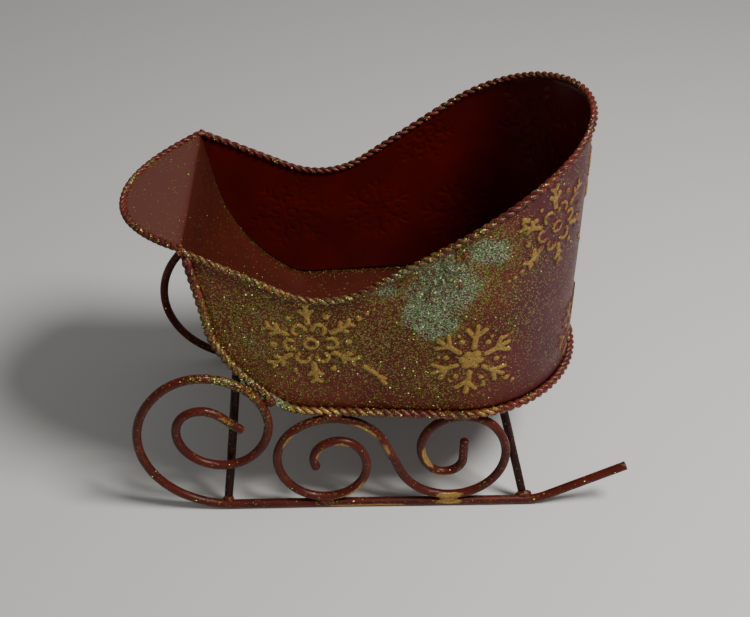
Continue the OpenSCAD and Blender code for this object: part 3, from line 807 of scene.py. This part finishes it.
rimRoute = []
for i in range(181):
    spot = planSpot(wallLength * i / 180, bodyShape["sheet"] / 2)[0]
    rimRoute.append((spot.x, spot.y, rimHeight(spot.x)))
nearTop = (0, 0.75, 0.65)
makeBraid("rimBraid", rimRoute, levelOut, ["rim_braid"],
          [((40, 53, 124), 34, 0.5, nearTop), ((-30, 56, 150), 22, 0.5, nearTop), ((72, 50, 140), 10, 0.5, nearTop)],
          [((-10, 56, 134), 24, 0.95), ((20, 53, 122), 22, 0.85), ((55, 51, 131), 24, 0.8),
           ((-38, 56, 156), 14, 0.5), ((80, 49, 143), 12, 0.6)], seed=2.0)


def baseLine():
    baseInset, baseSetback = braids["baseBraid"]["inset"], braids["baseBraid"]["setback"]
    line = [leanSpot(foldZ - 3.2 + (leanFootZ - foldZ + 3.2) * i / 8, baseSetback) for i in range(8)]
    for i in range(25):
        angle = leanAngle + (heelAngle - leanAngle) * i / 24
        line.append(panelSpot(angle, baseSetback * smoothRise(23.0, 11.0, math.degrees(angle))))
    line += [heelSpot(heelAngle + (math.pi / 2 - heelAngle) * i / 8) for i in range(1, 9)]
    touchX = planSpot(sideLength, baseInset)[0].x
    line += [(heelX + (touchX - heelX) * i / 20, bodyShape["baseZ"]) for i in range(1, 21)]
    left = [(x, halfWidth(x, baseInset), z) for x, z in line]
    back = []
    for i in range(1, 80):
        spot = planSpot(sideLength + backLength * i / 80, baseInset)[0]
        back.append((spot.x, spot.y, bodyShape["baseZ"]))
    return left + back + [(x, -y, z) for x, y, z in reversed(left)]


makeBraid("baseBraid", baseLine(), levelOut, ["base_braid"],
          [((30, 55, 61), 17, 0.85, nearTop), ((5, 57, 61), 12, 0.6, nearTop), ((-47, 57, 61), 7, 0.85, nearTop),
           ((70, 52, 96), 26, 0.55, nearTop), ((-66, 48, 61), 8, 0.6, nearTop)],
          [((48, 52, 66), 15, 1.0), ((62, 51, 84), 20, 0.85), ((76, 50, 112), 20, 0.7), ((-36, 57, 61), 20, 0.4),
           ((4, 57, 61), 22, 0.45)], seed=5.0)

lipRoute = []
for i in range(61):
    share = -1 + i / 30
    ahead = lipShape["reach"] * (1 - abs(share) ** lipShape["power"])
    x, z = lipSpot(ahead)
    lipRoute.append((x - 0.5, -share * lipShape["half"], z + 0.25))
makeBraid("lipBraid", lipRoute, lambda p: Vector((0, 0, 1)), ["lip_braid"],
          [((110, 0, 140), 14, 0.4, nearTop)],
          [((107, -26, 140), 7, 0.6), ((113, -10, 139), 12, 0.5), ((106, 28, 140), 12, 0.35)], 1.6, 8.0)

# Bent wires. A bend is (radius, degrees), negative for the other way; a straight is (0, length).
runnerWire = {
    "radius": 2.1, "plane": 55.0, "height": 2.22, "front": 71.0, "back": -69.0,
    "curl": [(41.3, 140), (27.8, 175), (20.0, 150), (12.0, 118), (0, 13.0)],
    "tails": {"Left": 40.9, "Right": 31.0}, "heel": (-20.0, 28), "step": 1.6,
}
scrollWire = {
    "radius": 2.1, "plane": 55.0, "start": (31.0, 26.06), "heading": 66.0,
    "bends": [(11.7, 172), (20.0, 169), (26.11, 201), (0, 19.75), (-25.0, 126), (-27.57, 67), (-19.0, 188),
              (-8.5, 136), (0, 11.0)], "step": 1.5,
}


def bentLine(x, z, heading, pieces, step):
    spots, h = [(x, z)], math.radians(heading)
    for radius, amount in pieces:
        if radius == 0:
            count = max(2, round(amount / step))
            spots += [(x + amount * i / count * math.cos(h), z + amount * i / count * math.sin(h))
                      for i in range(1, count + 1)]
            x, z = spots[-1]
            continue
        sweep = math.copysign(math.radians(amount), radius)
        cx, cz = x - radius * math.sin(h), z + radius * math.cos(h)
        count = max(3, round(abs(radius * sweep) / step))
        for i in range(1, count + 1):
            a = h + sweep * i / count
            spots.append((cx + radius * math.sin(a), cz - radius * math.cos(a)))
        x, z = spots[-1]
        h += sweep
    return spots


def layWire(bm, line, radius, plane, side, seed, sides=14, firstRound=0.55, lastRound=0.55):
    route, across, radii = [], [], []
    for i, (x, z) in enumerate(line):
        sway = 0.35 * wobble(i * 0.04, side, 0, seed)
        route.append(Vector((x, side * (plane + sway), z)))
        across.append(Vector((0, side, 0)))
        radii.append(radius * (1 + 0.012 * wobble(i * 0.3, side, 1, seed)))
    roundEnds(route, radii, across, True, False, firstRound)
    roundEnds(route, radii, across, False, True, lastRound)
    sweepWire(bm, route, across, radii, sides)


wireGold = [((42, 55, 44), 7, 1.0, (-0.5, 0.6, -0.6)), ((28, 55, 35), 5, 1.0, (-0.7, 0.5, -0.3)),
            ((19, 55, 42), 6, 0.8, (0, 0.75, -0.5)), ((8, 55, 50), 10, 0.9, (0.3, 0.8, -0.4)),
            ((-3, 55, 38), 7, 0.7, (0.3, 0.9, 0)), ((-20, 55, 32), 9, 1.0, (-0.7, 0.6, 0.1)),
            ((-28, 55, 22), 7, 0.9, (0, 0.6, -0.7)), ((-32, 55, 6), 8, 1.0, (0, 0.85, 0.3)),
            ((6, 55, 2), 24, 0.85, (0, 0.75, -0.55)), ((71, 55, 58), 9, 0.5, (0, 0.7, 0.6))]
wireDust = [((70, 55, 79), 11, 1.0), ((60, 55, 72), 8, 0.8), ((82, 55, 81), 7, 0.5), ((71, 55, 58), 8, 0.35),
            ((53, 55, 60), 8, 0.35), ((6, 55, 54), 6, 0.35), ((30, 55, 54), 9, 0.3), ((23, 55, 4), 6, 0.3)]


def mirrored(spots, side, fade):
    return [((x, side * y, z), reach, much * fade, *[(a, side * b, c) for a, b, c in brushed])
            for (x, y, z), reach, much, *brushed in spots]


def markSideWire(bm, side, seed):
    bmesh.ops.recalc_face_normals(bm, faces=bm.faces)
    fade = 1.0 if side > 0 else 0.8
    markWire(bm, mirrored(wireGold, side, fade), mirrored(wireDust, side, fade * 0.8), 0.06, 0.05, seed)


def makeRunner(side, word):
    w = runnerWire
    tail = bentLine(w["back"], w["height"], 180, [w["heel"], (0, w["tails"][word])], w["step"])
    flatLine = bentLine(w["back"], w["height"], 0, [(0, w["front"] - w["back"])], 3.0)
    curl = bentLine(w["front"], w["height"], 0, w["curl"], w["step"])
    bm = bmesh.new()
    layWire(bm, tail[::-1] + flatLine[1:] + curl[1:], w["radius"], w["plane"], side, 3.0 + side,
            firstRound=0.08, lastRound=0.3)
    markSideWire(bm, side, 12.0 + side)
    finishPiece(bm, "runnerWire" + word, ["wireRed"],
                ["runner_" + word.lower(), "tail_" + word.lower()])


def makeScroll(side, word):
    w = scrollWire
    bm = bmesh.new()
    layWire(bm, bentLine(*w["start"], w["heading"], w["bends"], w["step"]), w["radius"], w["plane"], side,
            6.0 + side, lastRound=0.4)
    markSideWire(bm, side, 16.0 + side)
    finishPiece(bm, "scrollWire" + word, ["wireRed"], ["scroll_" + word.lower()])


for side, word in ((1, "Left"), (-1, "Right")):
    makeRunner(side, word)
    makeScroll(side, word)

solderBeads = {
    # middle on the left side, and reach along x, y and z
    "spots": [((27.35, 55, 4.3), (4.6, 2.1, 2.4)), ((-31.91, 55, 4.3), (5.0, 2.1, 2.4)),
              ((22.88, 55.4, 58.6), (4.4, 2.2, 2.4)), ((-36.75, 56.4, 58.5), (4.4, 2.2, 2.4)),
              ((73.6, 53.6, 3.9), (2.7, 2.4, 2.4)), ((-68.0, 53.8, 4.0), (3.7, 2.3, 2.5)),
              ((50.6, 53.9, 67.0), (3.0, 2.3, 2.7))],
    "lump": 0.2,
}


def makeSolder(side, word):
    bm = bmesh.new()
    for n, (middle, reach) in enumerate(solderBeads["spots"]):
        place = Vector((middle[0], side * middle[1], middle[2]))
        ball = bmesh.ops.create_icosphere(bm, subdivisions=3, radius=1.0)["verts"]
        for v in ball:
            lump = 1 + solderBeads["lump"] * wobble(v.co.x * 1.3, v.co.y * 1.3, v.co.z * 1.3, n * 3.7 + side)
            v.co = Vector((v.co.x * reach[0], v.co.y * reach[1], v.co.z * reach[2])) * lump + place
            v.co.z = max(v.co.z, 0.15)
    markWire(bm, mirrored(wireGold, side, 0.8), mirrored(wireDust, side, 0.8), 0.25, 0.15, 21.0)
    finishPiece(bm, "solder" + word, ["wireRed"], ["solder_" + word.lower()])


for side, word in ((1, "Left"), (-1, "Right")):
    makeSolder(side, word)

stayWire = {
    "radius": 2.0, "footY": 52.3, "footZ": 5.32, "bend": 6.0,
    "front": (73.4, 64.9, 80.4, 4.2), "rear": (-67.2, -54.4, 58.78, 7.2),
}


def makeStay(name, place, node, seed):
    w = stayWire
    footX, topX, topZ, inside = place
    topY = halfWidth(topX, 0) - inside
    corners = [Vector((footX, -w["footY"], w["footZ"])), Vector((topX, -topY, topZ)),
               Vector((topX, topY, topZ)), Vector((footX, w["footY"], w["footZ"]))]
    line = [corners[0]]
    for a, b, c in zip(corners, corners[1:], corners[2:]):
        start, end = b + (a - b).normalized() * w["bend"], b + (c - b).normalized() * w["bend"]
        line += [start * (1 - t) ** 2 + b * 2 * t * (1 - t) + end * t ** 2 for t in (0, .2, .4, .6, .8, 1)]
    line.append(corners[3])
    route = resample(line, 2.5)[0]
    for i, p in enumerate(route):
        p.x += 0.3 * wobble(i * 0.12, 0, 0, seed)
    across = [Vector((1, 0, 0)) for p in route]
    radii = [w["radius"]] * len(route)
    bm = bmesh.new()
    roundEnds(route, radii, across)
    sweepWire(bm, route, across, radii, 12)
    bmesh.ops.recalc_face_normals(bm, faces=bm.faces)
    markWire(bm, [], [], 0.05, 0.1, seed)
    finishPiece(bm, name, ["stayDark"], [node])


makeStay("stayFront", stayWire["front"], "front_stay", 31.0)
makeStay("stayRear", stayWire["rear"], "rear_stay", 37.0)

# Floor, light and camera
studio = {
    "floor": (0.60, 0.585, 0.55), "floorRough": 0.6, "sky": (0.98, 0.99, 1.0), "world": 0.22, "aim": (0, 0, 0.06),
    "key": {"at": (-0.42, 0.24, 0.82), "size": 0.28, "watts": 10.0},
    "fill": {"at": (0.10, 0.90, 0.70), "size": 0.8, "watts": 0.8},
    "camera": (0.0126, 0.4577, 0.4336), "azimuth": -1.29, "pitch": 37.95, "lens": 58.3,
}
bm = bmesh.new()
bmesh.ops.create_grid(bm, x_segments=1, y_segments=1, size=6.0)
floorMesh = bpy.data.meshes.new("floor")
bm.to_mesh(floorMesh)
bm.free()
floor = bpy.data.objects.new("floor", floorMesh)
bpy.context.collection.objects.link(floor)
floorPaint = bpy.data.materials.new("paleFloor")
floorPaint.use_nodes = True
floorShader = floorPaint.node_tree.nodes["Principled BSDF"]
floorShader.inputs["Base Color"].default_value = (*studio["floor"], 1)
floorShader.inputs["Roughness"].default_value = studio["floorRough"]
floorMesh.materials.append(floorPaint)

world = bpy.data.worlds.new("softSky")
world.use_nodes = True
skyShader = world.node_tree.nodes["Background"]
skyShader.inputs[0].default_value = (*studio["sky"], 1)
skyShader.inputs[1].default_value = studio["world"]
bpy.context.scene.world = world
for name in ("key", "fill"):
    lamp = bpy.data.lights.new(name, "AREA")
    lamp.shape, lamp.size, lamp.energy = "DISK", studio[name]["size"], studio[name]["watts"]
    holder = bpy.data.objects.new(name, lamp)
    bpy.context.collection.objects.link(holder)
    holder.location = studio[name]["at"]
    holder.rotation_mode = "QUATERNION"
    holder.rotation_quaternion = (Vector(studio["aim"]) - holder.location).to_track_quat("-Z", "Y")

az, pitch = math.radians(studio["azimuth"]), math.radians(studio["pitch"])
ahead = Vector((math.sin(az) * math.cos(pitch), -math.cos(az) * math.cos(pitch), -math.sin(pitch)))
right = Vector((-math.cos(az), -math.sin(az), 0))
up = right.cross(ahead)
lens = bpy.data.cameras.new("view")
lens.lens, lens.sensor_width = studio["lens"], 36.0
lens.clip_start, lens.clip_end = 0.01, 50.0
eye = bpy.data.objects.new("view", lens)
bpy.context.collection.objects.link(eye)
eye.matrix_world = Matrix.Translation(studio["camera"]) @ Matrix((right, up, -ahead)).transposed().to_4x4()
bpy.context.scene.camera = eye
print("floor, light and camera ready")

bpy.context.view_layer.update()
